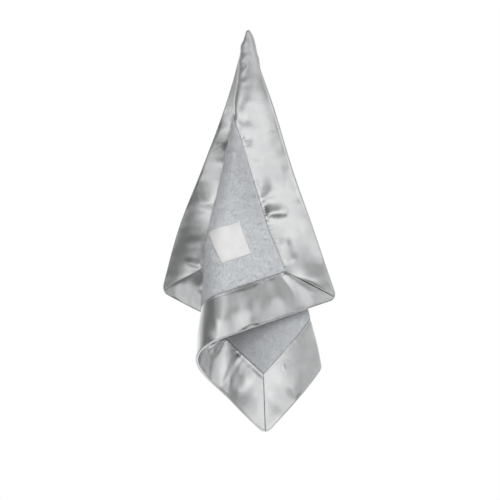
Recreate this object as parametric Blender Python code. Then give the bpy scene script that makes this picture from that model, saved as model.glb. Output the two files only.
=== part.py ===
"""Square comfort blanket hung by one corner: two plush panels in a wide mitred satin binding.

The flat blanket is measured with u along one edge and v along the next, both from the corner
that is gripped. Hanging lays it in three leaves and two round folds, like the letter Z seen
from above, whose creases all run down from that corner. The origin is the middle of the
gripped bundle, +Z is up and the front leaf faces -Y.
"""

import bpy
import numpy as np

MM = 0.001

# The blanket laid flat
SIDE = 355 * MM
BINDING_WIDTH = 52.5 * MM
CORNER_RADIUS = 10 * MM
SEAM_TUCK = 8 * MM
CORNER_CLIP = 4.5 * MM
LABEL_LENGTH = 43 * MM
LABEL_WIDTH = 40 * MM
LABEL_FROM_TOP = 226 * MM
LABEL_FROM_EDGE = 84 * MM
LABEL_CORNER_RADIUS = 1.5 * MM

# Cloth thicknesses and the clearances between layers
PILE_HEIGHT = 2.8 * MM
TUCKED_THICKNESS = 0.7 * MM
PILE_RAMP = 14 * MM
PANEL_CLEARANCE = 0.2 * MM
SATIN_THICKNESS = 0.5 * MM
LAYER_CLEARANCE = 1.15 * MM
SATIN_PUFF = 0.7 * MM
MITRE_CLEARANCE = 0.3 * MM
LABEL_THICKNESS = 0.4 * MM
LABEL_CLEARANCE = 0.75 * MM

# Where the gripped corner lies, measured from the grip
TIP_RISE = 56.7 * MM
TIP_DRIFT = 16.9 * MM
TIP_LEAN = 5.5 * MM
LEAN_REACH = 21.7 * MM
TIP_TAPER = 26 * MM

# How the leaves splay again above the grip, about a middle ray whose angle is in degrees
TIP_SPLAY_SHARE = 0.8
TIP_SPLAY_REACH = 33 * MM
TIP_SPLAY_MIDDLE = 7.2

# The two round folds, whose radii grow down the blanket
PINCH_RADIUS = 3.7 * MM
SPREAD_REACH = 240 * MM
LEFT_SPREAD_SHARE = 0.103
RIGHT_SPREAD_SHARE = 0.027
MOST_FOLDED_SHARE = 0.6

# The leaves: what share of the flat arc each takes, and the headings in degrees, seen from
# above, at the start and end of each leaf. 180 heads left, 0 right and 90 to the back.
GATHERED_LEAF_SHARES = (0.329, 0.247, 0.424)
GATHERED_HEADINGS = (143, 186, 5, 4, 174, 158)
GATHERED_START = (22.6, -6)
OPEN_LEAF_SHARES = (0.327, 0.21, 0.463)
OPEN_HEADINGS = (202, 200, -30, 38, 167, 142)
OPEN_START = (19.2, -3)
GATHER_REACH = 258 * MM
GATHER_BLEND = 64 * MM

# How far the first edge bows in, in degrees round the gripped corner, and where
EDGE_BOW = 2.9
EDGE_BOW_AT = 186 * MM
EDGE_BOW_REACH = 93 * MM

# How finely each surface is divided
LEAF_STEPS = (7, 6, 11)
FOLD_STEPS = (9, 7)
PANEL_MIDDLE_ROWS = 5
BINDING_RAY_STEPS = 12
BINDING_SPLAY_STEPS = 16
BINDING_LEAF_STEPS = 3
LABEL_STEPS = 7
CLEARLY_SHORTER_SHARE = 0.999


def smooth(x):
    """A ramp from 0 to 1 that starts and ends level."""
    x = np.clip(x, 0, 1)
    return x * x * (3 - 2 * x)


def fold_plan(r):
    """Angles on the sheet taken by leaf, fold, leaf, fold and leaf at the radius r from the
    gripped corner, the six headings there, and the first edge's direction."""
    gathered = (1 - np.tanh((r - GATHER_REACH) / GATHER_BLEND)) / 2

    def mixed(near, far):
        near, far = np.array(near, float), np.array(far, float)
        return far[:, None] + np.outer(near - far, gathered)

    headings = np.radians(mixed(GATHERED_HEADINGS, OPEN_HEADINGS))
    start = np.radians(mixed(GATHERED_START, OPEN_START))
    start[0] -= np.radians(EDGE_BOW) * np.exp(-(((r - EDGE_BOW_AT) / EDGE_BOW_REACH) ** 2))
    spread = r**2 / (r + SPREAD_REACH)
    folds = np.stack(
        [
            (headings[1] - headings[2]) * (PINCH_RADIUS + LEFT_SPREAD_SHARE * spread) / r,
            (headings[4] - headings[3]) * (PINCH_RADIUS + RIGHT_SPREAD_SHARE * spread) / r,
        ]
    )
    quarter = np.pi / 2
    folds = folds * np.minimum(1, MOST_FOLDED_SHARE * quarter / folds.sum(axis=0))
    leaves = mixed(GATHERED_LEAF_SHARES, OPEN_LEAF_SHARES) * (quarter - folds.sum(axis=0))
    angles = np.stack([leaves[0], folds[0], leaves[1], folds[1], leaves[2]])
    return angles, headings, start


def hung(u, v, height=0.0):
    """World places of points of the sheet, lifted off its middle surface by height.

    A circle round the gripped corner keeps its length: it is walked leaf by leaf and fold by
    fold over a sphere, with across its angle to the right and back its angle to the rear.
    """
    u, v, height = (np.asarray(a, float) for a in np.broadcast_arrays(u, v, height))
    shape = u.shape
    u, v, height = u.ravel(), v.ravel(), height.ravel()
    r = np.hypot(u, v)
    left = np.arctan2(v, u)
    angles, headings, (across, back) = fold_plan(r)
    heading = headings[0].copy()
    for k, angle in enumerate(angles):
        turn = (headings[k + 1] - headings[k]) / angle
        turn = np.where(np.abs(turn) < 1e-6, 1e-6, turn)
        step = left if k == len(angles) - 1 else np.clip(left, 0, angle)
        across = across + (np.sin(heading + turn * step) - np.sin(heading)) / turn
        back = back - (np.cos(heading + turn * step) - np.cos(heading)) / turn
        heading = heading + turn * step
        left = left - step
    middle = np.radians(TIP_SPLAY_MIDDLE)
    splay = TIP_SPLAY_SHARE * np.exp(-((r / TIP_SPLAY_REACH) ** 2))
    across = across + (across - middle) * splay
    ray = np.stack(
        [np.sin(across) * np.cos(back), np.sin(back), -np.cos(across) * np.cos(back)], -1
    )
    rightward = np.stack([np.cos(across), 0 * across, np.sin(across)], -1)
    rearward = np.stack(
        [-np.sin(across) * np.sin(back), np.cos(back), np.cos(across) * np.sin(back)], -1
    )
    normal = np.cos(heading)[:, None] * rearward - np.sin(heading)[:, None] * rightward
    lean = TIP_LEAN * np.exp(-((r / LEAN_REACH) ** 2))
    tip = np.stack([lean - TIP_DRIFT, 0 * lean, 0 * lean + TIP_RISE], -1)
    lift = height * np.tanh(r / TIP_TAPER)
    return (tip + r[:, None] * ray + lift[:, None] * normal).reshape(*shape, 3)


def fold_rays():
    """Angles of rays from the gripped corner, closest together where the sheet folds."""
    angles = fold_plan(np.array([SIDE]))[0][:, 0]
    ends = np.concatenate([[0], np.cumsum(angles)])
    middle = np.pi / 4
    steps = (LEAF_STEPS[0], FOLD_STEPS[0], 0, FOLD_STEPS[1], LEAF_STEPS[2])
    runs = [np.linspace(ends[k], ends[k + 1], n + 1) for k, n in enumerate(steps) if n]
    half = LEAF_STEPS[1] // 2
    runs.append(np.linspace(ends[2], middle, half + 1))
    runs.append(np.linspace(middle, ends[3], half + 1))
    return np.unique(np.round(np.concatenate(runs), 9))


def closed_mesh(name, rings):
    """A closed body from rings of points, joined one to the next, with both ends capped by a
    strip between the ring's first half and its second half. Each four-sided face starts at
    the end of its shorter diagonal, because that is where it is split."""
    count, size = rings.shape[:2]
    index = np.arange(count * size).reshape(count, size)
    beside = np.roll(index, -1, axis=1)
    sides = np.stack([index[:-1], beside[:-1], beside[1:], index[1:]], -1).reshape(-1, 4)
    j = np.arange(size // 2 - 1)
    cap = np.stack([j, size - 1 - j, size - 2 - j, j + 1], -1)
    quads = np.concatenate([sides, cap, cap[:, ::-1] + (count - 1) * size])
    points = rings.reshape(-1, 3)
    diagonals = np.linalg.norm(points[quads[:, :2]] - points[quads[:, 2:]], axis=-1)
    turned = diagonals[:, 1] < CLEARLY_SHORTER_SHARE * diagonals[:, 0]
    quads[turned] = np.roll(quads[turned], -1, axis=1)
    mesh = bpy.data.meshes.new(name)
    mesh.from_pydata(points.tolist(), [], quads.tolist())
    return mesh


def volume_of(mesh):
    """The volume inside the mesh, which is negative when it is inside out."""
    mesh.calc_loop_triangles()
    points = np.empty(len(mesh.vertices) * 3, np.float32)
    mesh.vertices.foreach_get("co", points)
    corners = np.empty(len(mesh.loop_triangles) * 3, np.int32)
    mesh.loop_triangles.foreach_get("vertices", corners)
    a, b, c = np.moveaxis(points.reshape(-1, 3)[corners].astype(float).reshape(-1, 3, 3), 1, 0)
    return (a * np.cross(b, c)).sum() / 6


def add_piece(name, rings, material):
    mesh = closed_mesh(name, rings)
    if volume_of(mesh) < 0:
        mesh.flip_normals()
    mesh.shade_smooth()
    mesh.materials.append(material)
    piece = bpy.data.objects.new(name, mesh)
    bpy.context.scene.collection.objects.link(piece)
    return piece


def cloth(name, colour, roughness, sheen):
    material = bpy.data.materials.new(name)
    material.use_nodes = True
    shader = material.node_tree.nodes["Principled BSDF"]
    shader.inputs["Base Color"].default_value = (*colour, 1)
    shader.inputs["Roughness"].default_value = roughness
    shader.inputs["Metallic"].default_value = 0
    shader.inputs["Sheen Weight"].default_value = sheen
    return material


def panel_height(u, v):
    """Height of the pile over the sheet's middle, pressed flat where the binding holds it."""
    inner = BINDING_WIDTH - SEAM_TUCK
    reach = np.minimum(np.minimum(u, v), SIDE - np.maximum(u, v)) - inner
    rise = smooth((reach - SEAM_TUCK) / PILE_RAMP)
    pressed = PANEL_CLEARANCE + TUCKED_THICKNESS
    return pressed + (PILE_HEIGHT - pressed) * rise


def panel(name, side, material):
    """One plush panel, with its clipped corners, as a shell on rays from the gripped corner.
    side is 1 for the front and -1 for the back."""
    inner = BINDING_WIDTH - SEAM_TUCK
    outer = SIDE - inner
    clip = np.arctan2(BINDING_WIDTH - CORNER_CLIP, SIDE - BINDING_WIDTH)
    rays = fold_rays()
    rays = rays[(rays > clip) & (rays < np.pi / 2 - clip)]
    rays = np.concatenate([[clip], rays, [np.pi / 2 - clip]])
    low, high = np.minimum(np.sin(rays), np.cos(rays)), np.maximum(np.sin(rays), np.cos(rays))
    first, last = inner / low, outer / high
    length = last - first
    near = [SEAM_TUCK / 2, SEAM_TUCK, SEAM_TUCK + PILE_RAMP / 2, SEAM_TUCK + PILE_RAMP]
    near_shares = (0.1, 0.2, 0.3, 0.4)
    start_rows = [np.minimum(d / low, s * length) for d, s in zip(near, near_shares)]
    end_rows = [length - np.minimum(d / high, s * length) for d, s in zip(near, near_shares)]
    middle_rows = [
        start_rows[-1] + (end_rows[-1] - start_rows[-1]) * k / PANEL_MIDDLE_ROWS
        for k in range(1, PANEL_MIDDLE_ROWS)
    ]
    rows = [0 * length, *start_rows, *middle_rows, *end_rows[::-1], length]
    r = first[:, None] + np.stack(rows, -1)
    u, v = r * np.cos(rays)[:, None], r * np.sin(rays)[:, None]
    pile = hung(u, v, side * panel_height(u, v))
    base = hung(u, v, side * PANEL_CLEARANCE)
    return add_piece(name, np.concatenate([pile, base[:, ::-1]], axis=1), material)


def binding_section():
    """The folded binding across its width, as shares of the width and heights: the outer wall
    from the back seam round the fold to the front seam, then the inner wall back again."""
    inner_fold = PANEL_CLEARANCE + TUCKED_THICKNESS + LAYER_CLEARANCE
    outer_fold = inner_fold + SATIN_THICKNESS
    leaf = np.linspace(1, 0, BINDING_LEAF_STEPS + 1)[:-1]

    def wall(radius):
        turn = np.radians([90, 45, 0, -45, -90])
        bend = outer_fold / BINDING_WIDTH - radius * np.cos(turn) / BINDING_WIDTH
        shares = np.concatenate([leaf, bend, leaf[::-1]])
        puff = radius + SATIN_PUFF * np.sin(np.pi * leaf)
        heights = np.concatenate([puff, radius * np.sin(turn), -puff[::-1]])
        return shares, heights

    outer_shares, outer_heights = wall(outer_fold)
    inner_shares, inner_heights = wall(inner_fold)
    shares = np.concatenate([outer_shares, inner_shares[::-1]])
    heights = np.concatenate([outer_heights, inner_heights[::-1]])
    return shares, heights


def rounded_edge(s):
    """How far the outline lies in from a straight edge at s along it, near either corner."""
    past = np.maximum(0, CORNER_RADIUS - np.minimum(s, SIDE - s))
    return CORNER_RADIUS - np.sqrt(CORNER_RADIUS**2 - past**2)


def half_rays(mirrored):
    """The rays from the edge along u, or if mirrored from the edge along v, to the diagonal."""
    rays = fold_rays()
    if mirrored:
        rays = np.pi / 2 - rays[::-1]
    return rays[rays <= np.pi / 4 + 1e-6]


def upper_stations(mirrored):
    """Places along an edge that meets the gripped corner: on the outline, and on the seam."""
    mitre = CORNER_RADIUS * (1 - np.sqrt(0.5))
    rays = half_rays(mirrored)[::-1][: BINDING_RAY_STEPS + 1]
    both = CORNER_RADIUS * (np.cos(rays) + np.sin(rays))
    on_arc = (both - np.sqrt(both**2 - CORNER_RADIUS**2)) * np.cos(rays)
    on_seam = BINDING_WIDTH / np.tan(rays)
    outline_shares = np.linspace(0, 1, BINDING_SPLAY_STEPS + 1)[1:]
    straight = SIDE - mitre
    outline = on_arc[-1] + (straight - on_arc[-1]) * outline_shares**0.6
    seam = on_seam[-1] + (SIDE - BINDING_WIDTH - on_seam[-1]) * outline_shares**1.15
    corner = straight - CORNER_RADIUS / 3
    outline = np.insert(outline, -1, corner)
    seam = np.insert(seam, -1, (seam[-2] + 2 * seam[-1]) / 3)
    return np.concatenate([on_arc, outline]), np.concatenate([on_seam, seam])


def lower_stations(mirrored):
    """Places along an edge away from the gripped corner, on rays wherever the sheet folds."""
    mitre = CORNER_RADIUS * (1 - np.sqrt(0.5))
    rays = half_rays(mirrored)
    settled = rays[LEAF_STEPS[-1 if mirrored else 0] - 1]
    seam_start = np.arctan2(BINDING_WIDTH, SIDE - BINDING_WIDTH)
    outline = SIDE * np.tan(rays)
    seam_rays = np.where(
        rays < settled, seam_start + rays * (settled - seam_start) / settled, rays
    )
    seam = (SIDE - BINDING_WIDTH) * np.tan(seam_rays)
    outline[0] = mitre
    outline[-1] = SIDE - mitre
    corner_outline = [mitre + CORNER_RADIUS / 3, SIDE - mitre - CORNER_RADIUS / 3]
    corner_seam = [seam[0] + (seam[1] - seam[0]) / 4, seam[-1] - (seam[-1] - seam[-2]) / 4]
    outline = np.insert(outline, [1, len(outline) - 1], corner_outline)
    seam = np.insert(seam, [1, len(seam) - 1], corner_seam)
    return outline, seam


def binding(name, stations, place, material):
    """One side of the binding, folded over the edge and mitred at both ends. place turns
    distances along the edge and in from it into u and v."""
    outline, seam = (a.copy() for a in stations)
    inset = rounded_edge(outline)
    gap = MITRE_CLEARANCE * np.sqrt(0.5)
    for ends in (outline, seam):
        ends[0] += gap
        ends[-1] -= gap
    shares, heights = binding_section()
    along = outline[:, None] + np.outer(seam - outline, shares)
    across = inset[:, None] + np.outer(BINDING_WIDTH - inset, shares)
    u, v = place(along, across)
    return add_piece(name, hung(u, v, heights), material)


def sewn_label(material):
    """The bare label on the front panel: a flat patch with small round corners."""
    corner_share = LABEL_CORNER_RADIUS / LABEL_LENGTH
    middle = np.linspace(corner_share, 1 - corner_share, LABEL_STEPS)
    side_shares = np.concatenate([[0], middle, [1]])
    u_line = LABEL_FROM_TOP + LABEL_LENGTH * side_shares
    v_shares = np.linspace(0, 1, LABEL_STEPS)
    reach = np.minimum(side_shares, 1 - side_shares) * LABEL_LENGTH
    past = np.maximum(0, LABEL_CORNER_RADIUS - reach)
    inset = LABEL_CORNER_RADIUS - np.sqrt(LABEL_CORNER_RADIUS**2 - past**2)
    u = np.repeat(u_line[:, None], LABEL_STEPS, axis=1)
    v = LABEL_FROM_EDGE + inset[:, None] + np.outer(LABEL_WIDTH - 2 * inset, v_shares)
    under = PILE_HEIGHT + LABEL_CLEARANCE
    top = hung(u, v, under + LABEL_THICKNESS)
    bottom = hung(u, v, under)
    return add_piece("sewn_label", np.concatenate([top, bottom[:, ::-1]], axis=1), material)


def build():
    for old in list(bpy.data.objects):
        bpy.data.objects.remove(old, do_unlink=True)
    plush = cloth("grey_plush", colour=(0.47, 0.50, 0.53), roughness=0.95, sheen=0.35)
    satin = cloth("silver_satin", colour=(0.56, 0.57, 0.58), roughness=0.32, sheen=0.1)
    white = cloth("white_label_cloth", colour=(0.80, 0.80, 0.80), roughness=0.75, sheen=0.05)
    panel("front_plush_panel", 1, plush)
    panel("back_plush_panel", -1, plush)
    binding("satin_binding_upper_right", upper_stations(False), lambda s, d: (s, d), satin)
    binding("satin_binding_upper_left", upper_stations(True), lambda s, d: (d, s), satin)
    binding("satin_binding_lower_right", lower_stations(False), lambda s, d: (SIDE - d, s), satin)
    binding("satin_binding_lower_left", lower_stations(True), lambda s, d: (s, SIDE - d), satin)
    sewn_label(white)


build()
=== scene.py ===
"""Comfort blanket hung by one corner: its looks.

Every cloth is a surface worked out on a grid of places on the flat blanket. u and v run along
two edges from the gripped corner, and hung() carries a place on the flat blanket, with a
height off its middle, to where it hangs.
"""

import bpy
import numpy as np
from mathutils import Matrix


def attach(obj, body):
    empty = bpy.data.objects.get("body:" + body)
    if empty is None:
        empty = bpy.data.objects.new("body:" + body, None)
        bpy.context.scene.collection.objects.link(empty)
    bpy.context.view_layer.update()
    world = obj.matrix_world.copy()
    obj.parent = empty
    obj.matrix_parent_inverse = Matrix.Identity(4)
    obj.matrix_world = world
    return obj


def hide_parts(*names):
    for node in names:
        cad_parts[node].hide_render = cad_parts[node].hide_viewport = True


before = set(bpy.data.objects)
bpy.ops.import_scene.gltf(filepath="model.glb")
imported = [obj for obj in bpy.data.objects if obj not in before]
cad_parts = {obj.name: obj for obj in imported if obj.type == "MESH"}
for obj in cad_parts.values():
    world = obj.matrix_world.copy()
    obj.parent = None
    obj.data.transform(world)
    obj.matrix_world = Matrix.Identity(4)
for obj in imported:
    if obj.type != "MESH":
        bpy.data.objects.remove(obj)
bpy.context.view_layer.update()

MM = 0.001
BODY = "root"

# The blanket laid flat
SIDE = 355 * MM
BINDING_WIDTH = 52.5 * MM
CORNER_RADIUS = 10 * MM
SEAM_TUCK = 8 * MM
LABEL_LENGTH = 43 * MM
LABEL_WIDTH = 40 * MM
LABEL_FROM_TOP = 226 * MM
LABEL_FROM_EDGE = 84 * MM

# Where the gripped corner lies, measured from the grip, as in the solids
TIP_RISE = 56.7 * MM
TIP_DRIFT = 16.9 * MM
TIP_LEAN = 5.5 * MM
LEAN_REACH = 21.7 * MM
TIP_TAPER = 26 * MM

# How the leaves splay again above the grip, about a middle ray whose angle is in degrees
TIP_SPLAY_SHARE = 0.8
TIP_SPLAY_REACH = 33 * MM
TIP_SPLAY_MIDDLE = 7.2

# The two round folds, whose radii grow down the blanket
PINCH_RADIUS = 3.7 * MM
SPREAD_REACH = 240 * MM
LEFT_SPREAD_SHARE = 0.103
RIGHT_SPREAD_SHARE = 0.027
MOST_FOLDED_SHARE = 0.6

# The leaves: what share of the flat arc each takes, and the headings in degrees, seen from
# above, at the start and end of each leaf. 180 heads left, 0 right and 90 to the back.
GATHERED_LEAF_SHARES = (0.329, 0.247, 0.424)
GATHERED_HEADINGS = (143, 186, 5, 4, 174, 158)
GATHERED_START = (22.6, -6)
OPEN_LEAF_SHARES = (0.327, 0.21, 0.463)
OPEN_HEADINGS = (202, 200, -30, 38, 167, 142)
OPEN_START = (19.2, -3)
GATHER_REACH = 258 * MM
GATHER_BLEND = 64 * MM

# How far the first edge bows in, in degrees round the gripped corner, and where
EDGE_BOW = 2.9
EDGE_BOW_AT = 186 * MM
EDGE_BOW_REACH = 93 * MM

# Slow waves of the whole sheet, and from where down the blanket they start
SWAY = 1.4 * MM
SWAY_LENGTH = 70 * MM
SWAY_START = 90 * MM
SWAY_RAMP = 120 * MM

# The plush panels: the height of the pile's body, its height pressed under the binding, the
# ramp between the two, and each panel's clearance off the sheet's middle
PILE_BASE = 2.1 * MM
PILE_PRESSED = 0.8 * MM
PILE_RAMP = 1.4 * MM
PANEL_CLEARANCE = 0.2 * MM

# The satin strip, and the seam that holds it
SATIN_THICKNESS = 0.35 * MM
FOLD_RADIUS = 1.9 * MM
SEAM_HEIGHT = 1.5 * MM
SATIN_PUFF = 1.3 * MM
MITRE_GAP = 0.1 * MM
STITCH_FROM_SEAM = 2.6 * MM
STITCH_PITCH = 3.4 * MM
STITCH_LENGTH = 2.5 * MM
THREAD_RADIUS = 0.2 * MM


# Numbers on a grid

def smooth(x):
    """A ramp from 0 to 1 that starts and ends level: 3 x squared less 2 x cubed."""
    x = np.clip(x, 0, 1)
    return x * x * (3 - 2 * x)


def ridge(x):
    """A round-topped ridge of height 1 at 0: one over the square of the hyperbolic cosine."""
    return 1 / np.cosh(np.clip(x, -30, 30)) ** 2


def lattice_noise(x, y, seed):
    """Smooth noise from -1 to 1: random values on whole numbers, blended between by smooth."""
    table = np.random.default_rng(seed).uniform(-1, 1, (256, 256))
    x0, y0 = np.floor(x).astype(int), np.floor(y).astype(int)
    fx, fy = smooth(x - x0), smooth(y - y0)
    a, b = table[x0 % 256, y0 % 256], table[(x0 + 1) % 256, y0 % 256]
    c, d = table[x0 % 256, (y0 + 1) % 256], table[(x0 + 1) % 256, (y0 + 1) % 256]
    return (a * (1 - fx) + b * fx) * (1 - fy) + (c * (1 - fx) + d * fx) * fy


# The hang

def fold_plan(r):
    """Angles on the sheet taken by leaf, fold, leaf, fold and leaf at the radius r from the
    gripped corner, the six headings there, and the first edge's direction."""
    gathered = (1 - np.tanh((r - GATHER_REACH) / GATHER_BLEND)) / 2

    def mixed(near, far):
        """Values between those of the gathered top and those of the open bottom."""
        near, far = np.array(near, float), np.array(far, float)
        return far[:, None] + np.outer(near - far, gathered)

    headings = np.radians(mixed(GATHERED_HEADINGS, OPEN_HEADINGS))
    start = np.radians(mixed(GATHERED_START, OPEN_START))
    start[0] -= np.radians(EDGE_BOW) * np.exp(-(((r - EDGE_BOW_AT) / EDGE_BOW_REACH) ** 2))
    spread = r**2 / (r + SPREAD_REACH)
    folds = np.stack(
        [
            (headings[1] - headings[2]) * (PINCH_RADIUS + LEFT_SPREAD_SHARE * spread) / r,
            (headings[4] - headings[3]) * (PINCH_RADIUS + RIGHT_SPREAD_SHARE * spread) / r,
        ]
    )
    quarter = np.pi / 2
    folds = folds * np.minimum(1, MOST_FOLDED_SHARE * quarter / folds.sum(axis=0))
    leaves = mixed(GATHERED_LEAF_SHARES, OPEN_LEAF_SHARES) * (quarter - folds.sum(axis=0))
    angles = np.stack([leaves[0], folds[0], leaves[1], folds[1], leaves[2]])
    return angles, headings, start


def sway(u, v):
    """Slow waves of the whole sheet, in metres: noise over long patches, still at the grip."""
    r = np.hypot(u, v)
    wave = lattice_noise(u / SWAY_LENGTH, v / SWAY_LENGTH, seed=3)
    return SWAY * wave * smooth((r - SWAY_START) / SWAY_RAMP)


def hung(u, v, height=0.0):
    """World places of points of the sheet, lifted off its middle surface by height.

    A circle round the gripped corner keeps its length: it is walked leaf by leaf and fold by
    fold over a sphere, with across its angle to the right and back its angle to the rear. Close
    to the grip its places are then spread out again from a middle ray.
    """
    u, v, height = (np.asarray(a, float) for a in np.broadcast_arrays(u, v, height))
    shape = u.shape
    u, v, height = u.ravel(), v.ravel(), height.ravel()
    r = np.hypot(u, v)
    left = np.arctan2(v, u)
    angles, headings, (across, back) = fold_plan(r)
    heading = headings[0].copy()
    for k, angle in enumerate(angles):
        turn = (headings[k + 1] - headings[k]) / angle
        turn = np.where(np.abs(turn) < 1e-6, 1e-6, turn)
        step = left if k == len(angles) - 1 else np.clip(left, 0, angle)
        across = across + (np.sin(heading + turn * step) - np.sin(heading)) / turn
        back = back - (np.cos(heading + turn * step) - np.cos(heading)) / turn
        heading = heading + turn * step
        left = left - step
    middle = np.radians(TIP_SPLAY_MIDDLE)
    splay = TIP_SPLAY_SHARE * np.exp(-((r / TIP_SPLAY_REACH) ** 2))
    across = across + (across - middle) * splay
    ray = np.stack(
        [np.sin(across) * np.cos(back), np.sin(back), -np.cos(across) * np.cos(back)], -1
    )
    rightward = np.stack([np.cos(across), 0 * across, np.sin(across)], -1)
    rearward = np.stack(
        [-np.sin(across) * np.sin(back), np.cos(back), np.cos(across) * np.sin(back)], -1
    )
    normal = np.cos(heading)[:, None] * rearward - np.sin(heading)[:, None] * rightward
    lean = TIP_LEAN * np.exp(-((r / LEAN_REACH) ** 2))
    tip = np.stack([lean - TIP_DRIFT, 0 * lean, 0 * lean + TIP_RISE], -1)
    lift = height * np.tanh(r / TIP_TAPER) + sway(u, v)
    return (tip + r[:, None] * ray + lift[:, None] * normal).reshape(*shape, 3)


# Meshes

def make_piece(name, points, faces, material, uv=None):
    """A piece from points and faces of three or four sides, riding on the blanket's body and
    turned so that the volume between the faces and the origin is above 0."""
    points = np.ascontiguousarray(points.reshape(-1, 3), np.float32)
    a, b, c = (points[faces[:, k]].astype(float) for k in (0, 1, 2))
    volume = (a * np.cross(b, c)).sum()
    if faces.shape[-1] == 4:
        volume += (a * np.cross(c, points[faces[:, 3]])).sum()
    if volume < 0:
        faces = faces[:, ::-1]
    mesh = bpy.data.meshes.new(name)
    mesh.vertices.add(len(points))
    mesh.vertices.foreach_set("co", points.ravel())
    corners = np.ascontiguousarray(faces, np.int32)
    mesh.loops.add(corners.size)
    mesh.loops.foreach_set("vertex_index", corners.ravel())
    mesh.polygons.add(len(corners))
    first_corners = np.arange(len(corners), dtype=np.int32) * corners.shape[1]
    mesh.polygons.foreach_set("loop_start", first_corners)
    mesh.update(calc_edges=True)
    mesh.validate()
    mesh.shade_smooth()
    if uv is not None:
        layer = mesh.uv_layers.new(name="cloth")
        layer.data.foreach_set("uv", uv.reshape(-1, 2)[corners.ravel()].astype(np.float32).ravel())
    mesh.materials.append(material)
    piece = bpy.data.objects.new(name, mesh)
    bpy.context.scene.collection.objects.link(piece)
    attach(piece, BODY)
    return piece


def ring_quads(count, size):
    """Faces between rings of points joined one to the next, and the two end caps, each a
    strip between the first half and the second half of its ring."""
    index = np.arange(count * size).reshape(count, size)
    beside = np.roll(index, -1, axis=1)
    sides = np.stack([index[:-1], beside[:-1], beside[1:], index[1:]], -1).reshape(-1, 4)
    j = np.arange(size // 2 - 1)
    cap = np.stack([j, size - 1 - j, size - 2 - j, j + 1], -1)
    return np.concatenate([sides, cap, cap[:, ::-1] + (count - 1) * size])


def make_shell(name, u, v, top, base, material, slot):
    """A thin closed piece over the grid u, v of the flat blanket: one face at the height top
    off the sheet's middle, the other at base, and narrow walls between them."""
    points = np.concatenate([hung(u, v, top), hung(u, v, base)[:, ::-1]], axis=1)
    uv = np.stack([np.concatenate([a, a[:, ::-1]], axis=1) for a in (u, v)], -1)
    return make_piece(name, points, ring_quads(*points.shape[:2]), material, uv)


# Satin binding

# A place on the flat blanket from a place s along each strip's edge and d in from it
STRIPS = {
    "upper_right": lambda s, d: (s, d),
    "upper_left": lambda s, d: (d, s),
    "lower_right": lambda s, d: (SIDE - d, s),
    "lower_left": lambda s, d: (s, SIDE - d),
}
STRIP_SEEDS = {"upper_right": 11, "upper_left": 23, "lower_right": 37, "lower_left": 53}

# Folds that the satin has taken on each strip and face, in mm: the place along the strip and in
# from its edge where each begins and where it ends, its widths on its near and far sides along
# the strip, and its height
FOLDS = {
    ("upper_right", 1): [
        (24, 13, 16, 2, 2, 9, 3.2),
        (43, 18, 33, 5, 2.5, 10, 4.2),
        (58, 25, 46, 10, 2.5, 11, 4.8),
        (61, 28, 58, 20, 2, 6, 1.6),
        (68, 31, 71, 16, 5, 9, 2.2),
        (76, 46, 88, 34, 16, 10, 1.7),
        (109, 48, 108, 32, 9, 8, 1.3),
        (131, 50, 131, 38, 8, 7, 1.5),
        (153, 50, 160, 37, 4, 3, 0.45),
        (160, 51, 160, 47, 3, 1.5, 0.4),
        (165, 51, 165, 47, 3, 1.5, 0.4),
        (181, 51, 180, 46, 3, 1.5, 0.4),
        (189, 51, 189, 46, 3, 1.6, 0.5),
        (206, 45, 204, 28, 12, 9, 2.0),
        (226, 50, 233, 27, 7, 7, 3.8),
        (238, 28, 229, 22, 3, 3, 0.8),
        (271, 46, 272, 34, 8, 8, 1.5),
        (291, 50, 290, 34, 7, 5, 1.5),
        (314, 42, 328, 2, 12, 20, 3.6),
        (190, 12, 192, 4, 8, 6, 0.4),
        (262, 13, 263, 4, 8, 6, 0.5),
    ],
    ("lower_right", 1): [
        (43, 48, 30, 10, 10, 9, 2.0),
        (44, 56, 57, 54, 16, 6, 4.5),
        (72, 50, 70, 6, 9, 11, 1.4),
        (95, 51, 97, 30, 4, 3, 1.1),
        (103, 54, 123, 4, 12, 14, 4.6),
        (150, 26, 164, 4, 9, 8, 1.2),
    ],
    ("upper_left", 1): [
        (141, 24, 137, 2, 18, 16, 2.6),
        (224, 42, 226, 4, 16, 16, 3.0),
        (300, 52, 302, 30, 3.5, 4, 1.3),
    ],
    ("lower_left", 1): [
        (60, 42, 62, 26, 8, 9, 1.4),
    ],
    ("lower_right", -1): [
        (229, 58, 229, 27, 8, 9, 6.2),
        (264, 50, 269, 28, 3.5, 4, 0.8),
        (269, 26, 274, 4, 3.5, 4, 0.7),
        (293, 50, 300, 8, 22, 12, 4.8),
    ],
    ("lower_left", -1): [
        (279, 42, 283, 36, 2, 1.2, 0.6),
        (288, 50, 290, 10, 12, 7, 1.2),
        (292, 21, 297, 3, 6, 5, 0.9),
        (313, 42, 320, 6, 12, 8, 1.4),
    ],
}

# The faces with no folds of their own above get loose ones, in mm too: between which places
# along the strip and how far in from its edge they start, the least and most that their widths,
# reach towards the edge and spacing may be, and the spread of their heights, one in three below 0
LOOSE_FROM, LOOSE_TO, LOOSE_START = 30, 325, 50
LOOSE_NEAR, LOOSE_FAR = (3, 12), (2, 8)
LOOSE_REACH, LOOSE_SPACING = (12, 46), (4, 20)
LOOSE_DRIFT_SHARE, LOOSE_HEIGHT_SHARE = 0.3, 0.3
LOOSE_HEIGHT_SPREAD, LOOSE_SIGNS = (0.7, 1.3), (1, 1, -0.6)

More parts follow.
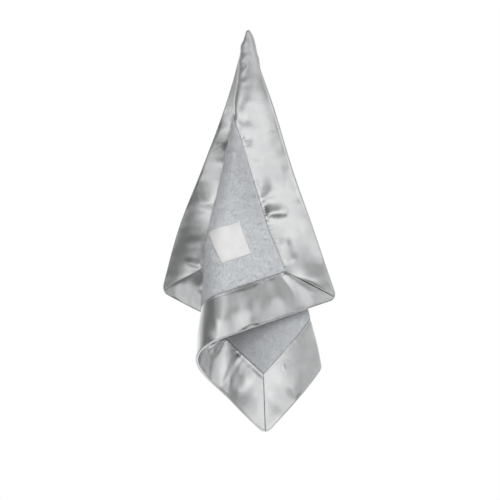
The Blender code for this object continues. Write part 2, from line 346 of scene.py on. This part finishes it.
# Gathers along the seam: the least and most spacing, width, reach and height share, how much
# the tallest rises, how far they lean, and how far from the seam they are twice as wide
PUCKER_SPACING = (4 * MM, 13 * MM)
PUCKER_WIDTH = (1.3 * MM, 2.6 * MM)
PUCKER_REACH = (3 * MM, 10 * MM)
PUCKER_SHARES = (0.2, 1.0)
PUCKER_HEIGHT = 0.65 * MM
PUCKER_LEAN = 0.5
PUCKER_WIDENING = 14 * MM

# Broad and fine waves of the loose satin: height, length along the strip and length across it
BROAD_SWELL = (0.6 * MM, 26 * MM, 60 * MM)
FINE_SWELL = (0.25 * MM, 9 * MM, 26 * MM)
SWELL_SLANT = 0.35

# How the satin is drawn down: the share of its height kept at a mitre and how soon it is free
# of it, its freedom near the seam and the outline, and the dimples along the stitches
MITRE_SHARE = 0.6
MITRE_REACH = 4 * MM
SEAM_OVERLAP = 2 * MM
SEAM_RAMP = 9 * MM
OUTLINE_RAMP = 5 * MM
PUCKER_RAMP = 20 * MM
STITCH_DIMPLE = 0.2 * MM
STITCH_DIMPLE_SWING = 0.1 * MM
STITCH_DIMPLE_WIDTH = 1.3 * MM

# Clearance of the satin over the pressed pile, and how softly it comes to rest on it
SATIN_CLEARANCE = 0.2 * MM
SATIN_REST = 0.4 * MM


def loose_folds(strip, face):
    """Seeded folds for a face that has none of its own in FOLDS. They run in from the seam,
    and about one in three is a groove."""
    draw = np.random.default_rng(STRIP_SEEDS[strip] * 10 + 5 * (face > 0))
    folds = []
    place = LOOSE_FROM
    while place < LOOSE_TO:
        near, far = draw.uniform(*LOOSE_NEAR), draw.uniform(*LOOSE_FAR)
        reach = draw.uniform(*LOOSE_REACH)
        drift = draw.uniform(-LOOSE_DRIFT_SHARE, LOOSE_DRIFT_SHARE) * reach
        height = LOOSE_HEIGHT_SHARE * min(near, far)
        height = height * draw.uniform(*LOOSE_HEIGHT_SPREAD) * draw.choice(LOOSE_SIGNS)
        folds.append((place, LOOSE_START, place + drift, LOOSE_START - reach, near, far, height))
        place += near + draw.uniform(*LOOSE_SPACING)
    return folds


def fold_height(folds, s, d):
    """Sum of ridges, each one over the square of the hyperbolic cosine of the distance across
    its line over its width on that side, fading as a cubed exponential past the line's ends."""
    height = np.zeros_like(s)
    for s0, d0, s1, d1, near, far, size in np.array(folds) * MM:
        half = np.array((s1 - s0, d1 - d0)) / 2
        reach = np.hypot(*half)
        off = (s - (s0 + s1) / 2, d - (d0 + d1) / 2)
        along = (off[0] * half[0] + off[1] * half[1]) / reach**2
        aside = (half[0] * off[1] - half[1] * off[0]) / reach
        width = near + (far - near) * (1 + np.tanh(2 * aside / (near + far))) / 2
        height += size * ridge(aside / width) * np.exp(-0.8 * np.abs(along) ** 3)
    return height


def puckers(strip, face, s, d):
    """Gathers along the seam: ridges across it at uneven steps, each leaning a little and
    dying out at its own distance from the seam."""
    draw = np.random.default_rng(STRIP_SEEDS[strip] * 10 + (face > 0))
    from_seam = np.maximum(0, BINDING_WIDTH - d)
    height = np.zeros_like(s)
    place = 0.0
    while place < SIDE:
        place += draw.uniform(*PUCKER_SPACING)
        size = draw.uniform(*PUCKER_SHARES) ** 1.5 * PUCKER_HEIGHT
        width = draw.uniform(*PUCKER_WIDTH)
        lean = draw.uniform(-PUCKER_LEAN, PUCKER_LEAN)
        reach = draw.uniform(*PUCKER_REACH)
        widening = width * (1 + from_seam / PUCKER_WIDENING)
        centre = place + lean * from_seam
        height += size * ridge((s - centre) / widening) * np.exp(-((from_seam / reach) ** 1.4))
    return height


def satin_swells(strip, face, s, d):
    """Soft waves of loose satin across the strip: two layers of noise drawn out across it."""
    seed = STRIP_SEEDS[strip] + (7 if face > 0 else 0)
    slant = s + SWELL_SLANT * d
    swells = np.zeros_like(s)
    for k, (height, length, breadth) in enumerate((BROAD_SWELL, FINE_SWELL)):
        swells += height * lattice_noise(slant / length, d / breadth, seed + k)
    return swells


def satin_height(strip, face, s, d):
    """Height of the satin over the sheet's middle on one face: a fold at the outline, a puffed
    border, swells, folds and puckers, all drawn down at the stitches and at the mitres, and
    never lower than the pressed pile with a clearance and the satin's thickness on it."""
    share = np.clip(d / BINDING_WIDTH, 0, 1)
    base = FOLD_RADIUS + (SEAM_HEIGHT - FOLD_RADIUS) * smooth(share)
    puffed = SATIN_PUFF * np.sin(np.pi * share) ** 2
    mitre = np.minimum(s, SIDE - s) - d
    held = 1 - (1 - MITRE_SHARE) * np.exp(-np.clip(mitre, 0, None) / MITRE_REACH)
    free = smooth(d / OUTLINE_RAMP) * smooth((BINDING_WIDTH + SEAM_OVERLAP - d) / SEAM_RAMP)
    folds = FOLDS.get((strip, face)) or loose_folds(strip, face)
    waves = (satin_swells(strip, face, s, d) + fold_height(folds, s, d)) * free
    gathers = puckers(strip, face, s, d) * smooth(d / PUCKER_RAMP)
    from_stitch = (BINDING_WIDTH - STITCH_FROM_SEAM - d) / STITCH_DIMPLE_WIDTH
    dimple = STITCH_DIMPLE + STITCH_DIMPLE_SWING * np.cos(2 * np.pi * s / STITCH_PITCH)
    stitched = dimple * np.exp(-(from_stitch**2))
    height = base + (puffed + waves + gathers) * held - stitched
    rest = PANEL_CLEARANCE + PILE_PRESSED + SATIN_CLEARANCE + SATIN_THICKNESS
    over = height - rest
    return rest + (over + np.sqrt(over**2 + SATIN_REST**2)) / 2


def rounded_edge(s):
    """How far the outline lies in from a straight edge at s along it, near either corner."""
    past = np.maximum(0, CORNER_RADIUS - np.minimum(s, SIDE - s))
    return CORNER_RADIUS - np.sqrt(CORNER_RADIUS**2 - past**2)


def satin_strip(strip, material, stations=380, leaf_steps=54, bend_steps=6):
    """One side of the binding: a folded strip of satin with its own thickness. Each station is
    a straight line from the outline to the seam, and the lines at its ends lie on the mitres."""
    place = STRIPS[strip]
    corner = CORNER_RADIUS * (1 - np.sqrt(0.5))
    p = np.linspace(0, 1, stations)[:, None]
    outline = corner + MITRE_GAP + p * (SIDE - 2 * corner - 2 * MITRE_GAP)
    seam = BINDING_WIDTH + MITRE_GAP + p * (SIDE - 2 * BINDING_WIDTH - 2 * MITRE_GAP)
    inset = rounded_edge(outline)
    leaf = np.linspace(1, FOLD_RADIUS / BINDING_WIDTH, leaf_steps)[None]
    turn = np.radians(np.linspace(90, -90, bend_steps + 2)[1:-1])[None]

    def on_strip(share):
        """The place on the strip at a share of the way from the outline to the seam."""
        s = outline + (seam - outline) * share
        return s, inset + (BINDING_WIDTH - inset) * share

    def wall(depth):
        """One surface of the strip, at a depth under its outer one: in along the front, round
        the outline in half a circle and back along the rear."""
        s, d = on_strip(leaf)
        tops = [satin_height(strip, face, s, d) - depth for face in (1, -1)]
        radius = FOLD_RADIUS - depth
        bend_share = (FOLD_RADIUS - radius * np.cos(turn)) / BINDING_WIDTH
        bend_s, bend_d = on_strip(bend_share)
        edge = (tops[0][:, -1:] + tops[1][:, -1:]) / 2
        bend = edge * np.sin(turn)
        every_s = np.concatenate([s, bend_s, s[:, ::-1]], axis=1)
        every_d = np.concatenate([d, bend_d, d[:, ::-1]], axis=1)
        height = np.concatenate([tops[0], bend, -tops[1][:, ::-1]], axis=1)
        return every_s, every_d, height

    outer, inner = wall(0.0), wall(SATIN_THICKNESS)
    s, d, height = (np.concatenate([o, i[:, ::-1]], axis=1) for o, i in zip(outer, inner))
    points = hung(*place(s, d), height)
    half = d.shape[1] // 2
    run = np.concatenate([d[:, :leaf_steps], -d[:, leaf_steps:half]], axis=1)
    uv = np.stack([s, np.concatenate([run, run[:, ::-1]], axis=1)], -1)
    quads = ring_quads(*s.shape)
    return make_piece("satin_" + strip, points, quads, material, uv)


# Plush

# Small and large clumps of the pile: their lengths and heights
SMALL_CLUMP, LARGE_CLUMP = (2.6 * MM, 0.22 * MM), (7 * MM, 0.3 * MM)

# The strands: their number, their mean length, width and lean, how deep in the pile's body they
# are rooted, how wide the swirls of the nap are and how far the roots pass under the satin
STRANDS_PER_PANEL = 62000
STRAND_LENGTH = 1.5 * MM
STRAND_WIDTH = 0.34 * MM
STRAND_LEAN = 0.75 * MM
ROOT_DEPTH = 0.35 * MM
NAP_SWIRL = 9 * MM
ROOTS_UNDER_SATIN = 0.6 * MM

# In radians the way the nap leans, its share of each swirl and how far strands stray from it,
# and the least and most shares that one strand has of the mean length, width, lean and spill
NAP_ANGLE, NAP_SWIRL_SHARE, NAP_STRAY = 0.8, 0.7, 0.7
LENGTH_SPREAD, WIDTH_SPREAD = (0.55, 1.25), (0.7, 1.2)
LEAN_SPREAD, SPILL_SPREAD = (0.5, 1.3), (0.2, 1.3)

# How far the strands next to the satin lean out over it, and how soon that ends
SPILL = 2 * MM
SPILL_REACH = 1.6 * MM


def pile_height(u, v):
    """Height of the pile's body over the sheet's middle: pressed flat under the binding, then
    rising within a short ramp, with the small clumps of short plush."""
    inner = BINDING_WIDTH - SEAM_TUCK
    reach = np.minimum(np.minimum(u, v), SIDE - np.maximum(u, v)) - inner
    rise = smooth((reach - SEAM_TUCK) / PILE_RAMP)
    clumps = np.zeros_like(u)
    for (length, height), seed in ((SMALL_CLUMP, 5), (LARGE_CLUMP, 6)):
        clumps += height * lattice_noise(u / length, v / length, seed)
    pressed = PANEL_CLEARANCE + PILE_PRESSED
    return pressed + (PILE_BASE - pressed + clumps) * rise


def plush_panel(name, side, material, steps=176):
    """One plush panel: the body of its pile, as a thin closed shell on a square grid."""
    inner = BINDING_WIDTH - SEAM_TUCK
    line = np.linspace(inner, SIDE - inner, steps)
    u, v = np.meshgrid(line, line, indexing="ij")
    top, base = side * pile_height(u, v), side * PANEL_CLEARANCE
    return make_shell(name, u, v, top, base, material, "grey_plush")


def pile_strands(name, side, material, seed):
    """The pile: short three-sided strands rooted at random over the panel, leaning with the
    nap and with their neighbours, each tapering from its open root to a point."""
    draw = np.random.default_rng(seed)
    low = BINDING_WIDTH - ROOTS_UNDER_SATIN
    high = SIDE - low
    u = draw.uniform(low, high, STRANDS_PER_PANEL)
    v = draw.uniform(low, high, STRANDS_PER_PANEL)
    swirl = np.pi * lattice_noise(u / NAP_SWIRL, v / NAP_SWIRL, seed=8)
    lean = STRAND_LEAN * draw.uniform(*LEAN_SPREAD, STRANDS_PER_PANEL)
    angle = NAP_ANGLE + NAP_SWIRL_SHARE * swirl + draw.normal(0, NAP_STRAY, STRANDS_PER_PANEL)
    margins = np.stack([u, v, SIDE - u, SIDE - v]) - BINDING_WIDTH
    outward = np.array([(-1, 0), (0, -1), (1, 0), (0, 1)])[margins.argmin(axis=0)]
    spill = SPILL * np.exp(-margins.min(axis=0) / SPILL_REACH)
    spill = spill * draw.uniform(*SPILL_SPREAD, STRANDS_PER_PANEL)
    length = STRAND_LENGTH * draw.uniform(*LENGTH_SPREAD, STRANDS_PER_PANEL)
    root_height = pile_height(u, v) - ROOT_DEPTH
    tip_u = u + lean * np.cos(angle) + spill * outward[:, 0]
    tip_v = v + lean * np.sin(angle) + spill * outward[:, 1]
    tips = hung(tip_u, tip_v, side * (root_height + length))
    width = STRAND_WIDTH * draw.uniform(*WIDTH_SPREAD, STRANDS_PER_PANEL)
    spin = draw.uniform(0, 2 * np.pi, STRANDS_PER_PANEL)
    roots = []
    for k in range(3):
        around = spin + 2 * np.pi * k / 3
        roots.append(hung(u + width * np.cos(around), v + width * np.sin(around), side * root_height))
    points = np.stack([*roots, tips], axis=1)
    first = np.arange(STRANDS_PER_PANEL)[:, None] * 4
    faces = np.concatenate([first + np.array([k, (k + 1) % 3, 3]) for k in range(3)])
    a, b, c = (points.reshape(-1, 3)[faces[:1, k]] for k in range(3))
    inward = hung(u[:1], v[:1], side * root_height[:1]) - a
    if (np.cross(b - a, c - a) * inward).sum() > 0:
        faces = faces[:, ::-1]
    return make_piece(name, points, faces, material)


# Label

# The label: how far it rides over the pile, its thickness, its cockling and how soon that dies
# out at the edges, and how far the edges are drawn down
LABEL_RISE = 0.9 * MM
LABEL_THICKNESS = 0.45 * MM
LABEL_COCKLE = 0.35 * MM
COCKLE_RAMP = 5 * MM
LABEL_EDGE_DIP = 0.5 * MM
LABEL_EDGE_REACH = 1.5 * MM

# Its stitches: how far in from its edges they run, the step from one to the next, and their length
LABEL_STITCH_INSET = 1.6 * MM
LABEL_STITCH_PITCH = 2.3 * MM
LABEL_STITCH_LENGTH = 1.6 * MM


def label_surface(a, b):
    """Height of the label over the sheet's middle at shares a and b of its sides: slightly
    cockled, and drawn down to the pile along its stitched edges."""
    edge = np.minimum(np.minimum(a, 1 - a) * LABEL_LENGTH, np.minimum(b, 1 - b) * LABEL_WIDTH)
    cockle = LABEL_COCKLE * lattice_noise(4 * a, 4 * b, seed=17) * smooth(edge / COCKLE_RAMP)
    return PILE_BASE + LABEL_RISE + cockle - LABEL_EDGE_DIP * np.exp(-edge / LABEL_EDGE_REACH)


def label_place(a, b):
    """The place on the flat blanket at shares a and b of the label's sides."""
    return LABEL_FROM_TOP + a * LABEL_LENGTH, LABEL_FROM_EDGE + b * LABEL_WIDTH


def sewn_label(material, steps=60):
    """The label: a thin closed shell on a grid over its own sides, left bare."""
    a, b = np.meshgrid(np.linspace(0, 1, steps), np.linspace(0, 1, steps), indexing="ij")
    top = label_surface(a, b)
    base = top - LABEL_THICKNESS
    return make_shell("label", *label_place(a, b), top, base, material, "white_label_cloth")


# Stitches

STITCH_RINGS = 5
STITCH_SIDES = 6


def stitches(name, ends, lifts, material):
    """Short round stitches from ends[:, 0] to ends[:, 1], each bowed out along its lift: a
    tube of a few rings whose radius follows the square root of half a sine wave, and is small
    but above 0 at both ends."""
    t = np.linspace(0, 1, STITCH_RINGS)
    start, stop = ends[:, 0], ends[:, 1]
    along = stop - start
    along = along / np.linalg.norm(along, axis=-1, keepdims=True)
    lift = lifts / np.linalg.norm(lifts, axis=-1, keepdims=True)
    beside = np.cross(along, lift)
    centre = start[:, None] + (stop - start)[:, None] * t[:, None]
    bow = THREAD_RADIUS * (1.2 * np.sin(np.pi * t) - 1)
    centre = centre + lift[:, None] * bow[:, None]
    radius = THREAD_RADIUS * np.sqrt(np.clip(np.sin(np.pi * t), 0.05, 1))
    around = np.linspace(0, 2 * np.pi, STITCH_SIDES + 1)[:-1, None]
    ring = lift[:, None, None] * np.cos(around) + beside[:, None, None] * np.sin(around)
    points = centre[:, :, None] + ring * radius[:, None, None]
    first_points = np.arange(len(points))[:, None, None] * STITCH_RINGS * STITCH_SIDES
    quads = (ring_quads(STITCH_RINGS, STITCH_SIDES) + first_points).reshape(-1, 4)
    return make_piece(name, points, quads, material)


def seam_stitches(name, face, material):
    """The line of stitches that holds the binding, along all four strips on one face."""
    ends, lifts = [], []
    for strip, place in STRIPS.items():
        first = BINDING_WIDTH + STITCH_PITCH
        count = int((SIDE - 2 * first) / STITCH_PITCH)
        s = first + STITCH_PITCH * np.arange(count)[:, None] + np.array([0, STITCH_LENGTH])
        d = np.full_like(s, BINDING_WIDTH - STITCH_FROM_SEAM)
        height = satin_height(strip, face, s, d)
        ends.append(hung(*place(s, d), face * height))
        middle_s, middle_d, middle_height = (a.mean(axis=1) for a in (s, d, height))
        middle = place(middle_s, middle_d)
        lifts.append(hung(*middle, face * middle_height) - hung(*middle))
    return stitches(name, np.concatenate(ends), np.concatenate(lifts), material)


def label_stitches(material):
    """The line of stitches just inside the label's four edges."""
    low = LABEL_STITCH_INSET
    far_a, far_b = LABEL_LENGTH - low, LABEL_WIDTH - low
    corners = np.array([(low, low), (far_a, low), (far_a, far_b), (low, far_b)])
    ends, lifts = [], []
    for start, stop in zip(corners, np.roll(corners, -1, axis=0)):
        reach = np.linalg.norm(stop - start)
        count = int(reach / LABEL_STITCH_PITCH)
        along = np.arange(count)[:, None] * LABEL_STITCH_PITCH + np.array([0, LABEL_STITCH_LENGTH])
        t = along / reach
        a = (start[0] + (stop - start)[0] * t) / LABEL_LENGTH
        b = (start[1] + (stop - start)[1] * t) / LABEL_WIDTH
        u, v = label_place(a, b)
        top = label_surface(a, b) + THREAD_RADIUS / 2
        ends.append(hung(u, v, top))
        lifts.append(hung(u[:, 0], v[:, 0], top[:, 0]) - hung(u[:, 0], v[:, 0]))
    ends, lifts = np.concatenate(ends), np.concatenate(lifts)
    return stitches("label_stitches", ends, lifts, material)


# Materials

# The darkest and lightest colour of each cloth, and the colours of the threads and the floor
SATIN_COLOURS = ((0.58, 0.59, 0.595), (0.66, 0.67, 0.675))
PLUSH_COLOURS = ((0.44, 0.455, 0.475), (0.53, 0.545, 0.565))
PILE_COLOURS = ((0.52, 0.535, 0.555), (0.62, 0.635, 0.655))
LABEL_COLOURS = ((0.56, 0.56, 0.555), (0.62, 0.62, 0.62))
SEAM_THREAD_COLOUR = (0.62, 0.63, 0.635)
LABEL_THREAD_COLOUR = (0.75, 0.75, 0.75)
FLOOR_COLOUR = (0.82, 0.82, 0.82)

# Roughness of smooth satin and of the crushed satin at the pinched corner, and the heights
# between which the one turns into the other
SMOOTH_SATIN, CRUSHED_SATIN = 0.2, 0.48
CRUSH_START, CRUSH_FULL = -48 * MM, -14 * MM

# How high the satin's crinkles and its weave stand, the plush's fine hairs and the label's ribs
CRINKLE_HEIGHT = 0.6 * MM
SATIN_WEAVE_HEIGHT = 0.04 * MM
HAIR_HEIGHT = 0.5 * MM
RIB_HEIGHT = 0.1 * MM


def new_material(name):
    """A material with its node list, its shader and a function that joins two sockets."""
    material = bpy.data.materials.new(name)
    material.use_nodes = True
    nodes = material.node_tree.nodes
    return material, nodes, nodes["Principled BSDF"], material.node_tree.links.new


def colour_mix(nodes, link, factor, colours, target):
    """Joins target to a colour that goes from the first to the second as factor goes from 0.3
    to 0.7."""
    ramp = nodes.new("ShaderNodeValToRGB")
    for element, colour, position in zip(ramp.color_ramp.elements, colours, (0.3, 0.7)):
        element.color = (*colour, 1)
        element.position = position
    link(factor, ramp.inputs["Fac"])
    link(ramp.outputs["Color"], target)


def noise_node(nodes, link, vector, scale, detail):
    """Noise from 0 to 1 in which one patch is about 1 / scale long."""
    noise = nodes.new("ShaderNodeTexNoise")
    noise.inputs["Scale"].default_value = scale
    noise.inputs["Detail"].default_value = detail
    link(vector, noise.inputs["Vector"])
    return noise.outputs["Fac"]


def bump_node(nodes, link, height, distance, strength, before=None):
    """The surface's normal, tilted as if height raised it by up to distance."""
    bump = nodes.new("ShaderNodeBump")
    bump.inputs["Strength"].default_value = strength
    bump.inputs["Distance"].default_value = distance
    link(height, bump.inputs["Height"])
    if before is not None:
        link(before, bump.inputs["Normal"])
    return bump.outputs["Normal"]


def range_node(nodes, link, value, span, result, interpolation="LINEAR"):
    """A number that goes from result[0] to result[1] as value goes from span[0] to span[1]."""
    node = nodes.new("ShaderNodeMapRange")
    node.interpolation_type = interpolation
    for name, number in zip(("From Min", "From Max", "To Min", "To Max"), (*span, *result)):
        node.inputs[name].default_value = number
    link(value, node.inputs["Value"])
    return node.outputs["Result"]


def place_in_piece(nodes):
    """The point's place in the piece's own coordinates."""
    return nodes.new("ShaderNodeTexCoord").outputs["Object"]


def place_on_cloth(nodes):
    """The point's place on the cloth laid flat, in metres."""
    uv = nodes.new("ShaderNodeUVMap")
    uv.uv_map = "cloth"
    return uv.outputs["UV"]


def satin_material():
    """Silver satin: a bright metallic-looking float weave, duller where it is crushed at the
    pinched corner."""
    material, nodes, shader, link = new_material("silver_satin")
    flat = place_on_cloth(nodes)
    weave = nodes.new("ShaderNodeTexWave")
    weave.wave_type = "BANDS"
    weave.bands_direction = "DIAGONAL"
    weave.inputs["Scale"].default_value = 900
    weave.inputs["Distortion"].default_value = 0.6
    link(flat, weave.inputs["Vector"])
    crinkle = noise_node(nodes, link, flat, 130, 4)
    tone = noise_node(nodes, link, flat, 40, 3)
    colour_mix(nodes, link, tone, SATIN_COLOURS, shader.inputs["Base Color"])
    crinkled = bump_node(nodes, link, crinkle, CRINKLE_HEIGHT, 0.15)
    woven = bump_node(nodes, link, weave.outputs["Fac"], SATIN_WEAVE_HEIGHT, 0.5, crinkled)
    link(woven, shader.inputs["Normal"])
    tangent = nodes.new("ShaderNodeTangent")
    tangent.direction_type = "UV_MAP"
    tangent.uv_map = "cloth"
    link(tangent.outputs["Tangent"], shader.inputs["Tangent"])
    axes = nodes.new("ShaderNodeSeparateXYZ")
    link(place_in_piece(nodes), axes.inputs["Vector"])
    heights, roughnesses = (CRUSH_START, CRUSH_FULL), (SMOOTH_SATIN, CRUSHED_SATIN)
    crushed = range_node(nodes, link, axes.outputs["Z"], heights, roughnesses, "SMOOTHSTEP")
    link(crushed, shader.inputs["Roughness"])
    shader.inputs["Metallic"].default_value = 0.92
    shader.inputs["Anisotropic"].default_value = 0.2
    shader.inputs["Sheen Weight"].default_value = 0.05
    return material


def plush_material(name, colours):
    """Short matte plush: mottled grey with a soft sheen at its edges."""
    material, nodes, shader, link = new_material(name)
    place = place_in_piece(nodes)
    mottle = noise_node(nodes, link, place, 420, 4)
    colour_mix(nodes, link, mottle, colours, shader.inputs["Base Color"])
    hairs = noise_node(nodes, link, place, 1400, 2)
    link(bump_node(nodes, link, hairs, HAIR_HEIGHT, 0.5), shader.inputs["Normal"])
    shader.inputs["Roughness"].default_value = 0.92
    shader.inputs["Specular IOR Level"].default_value = 0.2
    shader.inputs["Sheen Weight"].default_value = 0.35
    shader.inputs["Sheen Roughness"].default_value = 0.5
    return material


def label_material():
    """White woven tape: two crossing sets of fine ribs."""
    material, nodes, shader, link = new_material("white_label_cloth")
    flat = place_on_cloth(nodes)
    ribs = []
    for direction in ("X", "Y"):
        wave = nodes.new("ShaderNodeTexWave")
        wave.bands_direction = direction
        wave.inputs["Scale"].default_value = 420
        link(flat, wave.inputs["Vector"])
        ribs.append(wave.outputs["Fac"])
    weave = nodes.new("ShaderNodeMath")
    weave.operation = "MULTIPLY"
    link(ribs[0], weave.inputs[0])
    link(ribs[1], weave.inputs[1])
    tone = noise_node(nodes, link, flat, 90, 4)
    colour_mix(nodes, link, tone, LABEL_COLOURS, shader.inputs["Base Color"])
    link(bump_node(nodes, link, weave.outputs["Value"], RIB_HEIGHT, 0.6), shader.inputs["Normal"])
    shader.inputs["Roughness"].default_value = 0.7
    shader.inputs["Sheen Weight"].default_value = 0.1
    return material


def thread_material(name, colour):
    """Twisted sewing thread: its colour with fine darker flecks."""
    material, nodes, shader, link = new_material(name)
    flecks = noise_node(nodes, link, place_in_piece(nodes), 3000, 1)
    dark = tuple(0.8 * c for c in colour)
    colour_mix(nodes, link, flecks, (dark, colour), shader.inputs["Base Color"])
    shader.inputs["Roughness"].default_value = 0.45
    return material


# Stage

# Soft lamps: name, place, size across and up, and power in watts. All face LAMP_AIM.
LAMP_AIM = (0, 0, -0.2)
LAMPS = (
    ("key", (1.25, -1.25, 0.75), (1.1, 1.3), 26),
    ("fill", (-1.5, -1.3, 0.1), (1.0, 1.4), 5),
    ("top", (0.1, -0.2, 1.4), (1.0, 1.0), 9),
    ("back", (-0.6, 1.7, 0.5), (1.2, 1.2), 9),
)

# The floor's height and radius in metres, and how far from its middle it starts to fade
FLOOR_HEIGHT = -0.64
FLOOR_RADIUS = 0.66
FLOOR_FADE_FROM = 0.25


def add_lamp(name, place, size, power):
    """A soft lamp at place, turned to face LAMP_AIM and not seen in reflections."""
    light = bpy.data.lights.new(name, "AREA")
    light.shape = "RECTANGLE"
    light.size, light.size_y = size
    light.energy = power
    lamp = bpy.data.objects.new(name, light)
    lamp.location = place
    away = np.array(place) - np.array(LAMP_AIM)
    away = away / np.linalg.norm(away)
    side = np.cross((0, 0, 1), away)
    side = side / np.linalg.norm(side)
    up = np.cross(away, side)
    lamp.matrix_world = [(*column, 0) for column in (side, up, away)] + [(*place, 1)]
    lamp.visible_glossy = False
    bpy.context.scene.collection.objects.link(lamp)


def add_floor():
    """A pale round floor below the view, fading out at its rim."""
    place = (0, 0, FLOOR_HEIGHT)
    bpy.ops.mesh.primitive_circle_add(vertices=96, radius=FLOOR_RADIUS, fill_type="NGON", location=place)
    floor = bpy.context.active_object
    floor.name = "floor"
    material, nodes, shader, link = new_material("pale_floor")
    shader.inputs["Base Color"].default_value = (*FLOOR_COLOUR, 1)
    shader.inputs["Roughness"].default_value = 0.9
    distance = nodes.new("ShaderNodeVectorMath")
    distance.operation = "LENGTH"
    link(place_in_piece(nodes), distance.inputs[0])
    rim = (FLOOR_FADE_FROM, FLOOR_RADIUS)
    link(range_node(nodes, link, distance.outputs["Value"], rim, (1, 0)), shader.inputs["Alpha"])
    floor.data.materials.append(material)


# Lit patches of the room that the satin mirrors, as parts of a sphere of radius 1 round the
# object: left and right limits, low and high limits, softness of the edges, and strength. The
# first is the dim rest of the room.
MIRRORED_PATCHES = (
    (-2, 2, -2, 2, 0.1, 0.07),
    (-0.70, 0.05, -0.27, 0.22, 0.09, 1.2),
    (-0.63, 0.05, 0.10, 0.52, 0.06, 1.2),
    (-0.20, 0.36, -0.27, 0.52, 0.14, 1.05),
    (0.20, 0.72, -0.27, 0.38, 0.12, 1.05),
    (-0.18, 0.20, 0.40, 0.80, 0.08, 1.0),
    (-0.93, -0.50, -0.27, 0.13, 0.07, 1.18),
    (-2, -0.60, -0.27, 0.00, 0.08, 0.6),
    (-2, -0.60, 0.00, 2, 0.08, 0.17),
    (-0.6, 2, 0.48, 0.85, 0.1, 0.52),
    (-0.6, 2, 0.70, 2, 0.1, 0.22),
    (0.84, 2, -0.34, -0.09, 0.06, 1.0),
    (0.72, 2, -0.03, 0.5, 0.08, 0.7),
)

# The glow behind the object in reflections: from and to which Y it rises, and its strengths
REAR_GLOW = ((0.1, 0.6), (0, 0.7))

# The room's plain light on the object: from and to which Z it rises, and its strengths
ROOM_LIGHT = ((-0.6, 0.9), (0.3, 0.8))


def add_world():
    """White where the camera looks past the object. Reflections show the lit patches and the
    glow behind the object, whichever is brighter, and the room's plain light, which is dim
    below and brighter overhead, falls on everything."""
    world = bpy.data.worlds.new("studio")
    bpy.context.scene.world = world
    world.use_nodes = True
    nodes, link = world.node_tree.nodes, world.node_tree.links.new
    shader = nodes["Background"]
    path = nodes.new("ShaderNodeLightPath")
    place = nodes.new("ShaderNodeTexCoord")
    axes = nodes.new("ShaderNodeSeparateXYZ")
    link(place.outputs["Generated"], axes.inputs["Vector"])

    def maths(operation, a, b):
        """The result of one sum on two sockets or numbers."""
        node = nodes.new("ShaderNodeMath")
        node.operation = operation
        for socket, value in zip(node.inputs, (a, b)):
            if isinstance(value, (int, float)):
                socket.default_value = value
            else:
                link(value, socket)
        return node.outputs["Value"]

    def within(axis, low, high, softness):
        """1 between low and high, falling softly to 0 past them."""
        past = []
        for edge in (low, high):
            span = (edge - softness, edge + softness)
            past.append(range_node(nodes, link, axis, span, (0, 1), "SMOOTHSTEP"))
        return maths("MINIMUM", past[0], maths("SUBTRACT", 1.0, past[1]))

    def patch(left, right, low, high, softness, strength):
        """The light of one patch in the direction looked in."""
        wide = within(axes.outputs["X"], left, right, softness)
        tall = within(axes.outputs["Z"], low, high, softness)
        return maths("MULTIPLY", maths("MULTIPLY", wide, tall), strength)

    def chosen(share, first, second):
        """The first where share is 1 and the second where it is 0."""
        rest = maths("MULTIPLY", second, maths("SUBTRACT", 1.0, share))
        return maths("ADD", maths("MULTIPLY", first, share), rest)

    mirrored = range_node(nodes, link, axes.outputs["Y"], *REAR_GLOW)
    for limits in MIRRORED_PATCHES:
        mirrored = maths("MAXIMUM", mirrored, patch(*limits))
    room = range_node(nodes, link, axes.outputs["Z"], *ROOM_LIGHT)
    seen = chosen(path.outputs["Is Glossy Ray"], mirrored, room)
    shown = maths("MAXIMUM", path.outputs["Is Camera Ray"], path.outputs["Is Transmission Ray"])
    shader.inputs["Color"].default_value = (1, 1, 1, 1)
    link(chosen(shown, 1.0, seen), shader.inputs["Strength"])


# Camera

# In the photograph's pixels: its width, the side of the blanket and the place of the grip
FRAME_PIXELS = 500
SIDE_PIXELS = 287.8
GRIP_PIXEL = (256, 73)

# The real length of one such pixel, the camera's distance in metres and its sensor in mm
PIXEL = SIDE / SIDE_PIXELS
CAMERA_DISTANCE = 2.33
SENSOR_WIDTH = 36


def add_camera():
    """The photograph's view: level, square on, from far enough for slight perspective."""
    camera = bpy.data.cameras.new("camera")
    camera.sensor_width = SENSOR_WIDTH
    camera.lens = camera.sensor_width * CAMERA_DISTANCE / (FRAME_PIXELS * PIXEL)
    holder = bpy.data.objects.new("camera", camera)
    half = FRAME_PIXELS / 2
    holder.location = ((half - GRIP_PIXEL[0]) * PIXEL, -CAMERA_DISTANCE, (GRIP_PIXEL[1] - half) * PIXEL)
    holder.rotation_euler = (np.pi / 2, 0, 0)
    bpy.context.scene.collection.objects.link(holder)
    bpy.context.scene.camera = holder


# The model

satin = satin_material()
plush = plush_material("grey_plush", PLUSH_COLOURS)
pile = plush_material("grey_pile", PILE_COLOURS)
label_cloth = label_material()
seam_thread = thread_material("seam_thread", SEAM_THREAD_COLOUR)
label_thread = thread_material("label_thread", LABEL_THREAD_COLOUR)

seam_stitches("front_stitches", 1, seam_thread)
seam_stitches("back_stitches", -1, seam_thread)

for strip in STRIPS:
    piece = satin_strip(strip, satin)
    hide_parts("satin_binding_" + strip)

for name, side, seed in (("front", 1, 61), ("back", -1, 67)):
    panel = plush_panel(f"plush_{name}", side, plush)
    strands = pile_strands(f"pile_{name}", side, pile, seed)
    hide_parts(f"{name}_plush_panel")

label = sewn_label(label_cloth)
label_seam = label_stitches(label_thread)
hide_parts("sewn_label")

add_floor()
add_world()
add_camera()
for lamp in LAMPS:
    add_lamp(*lamp)
bpy.context.scene.view_settings.view_transform = "Standard"
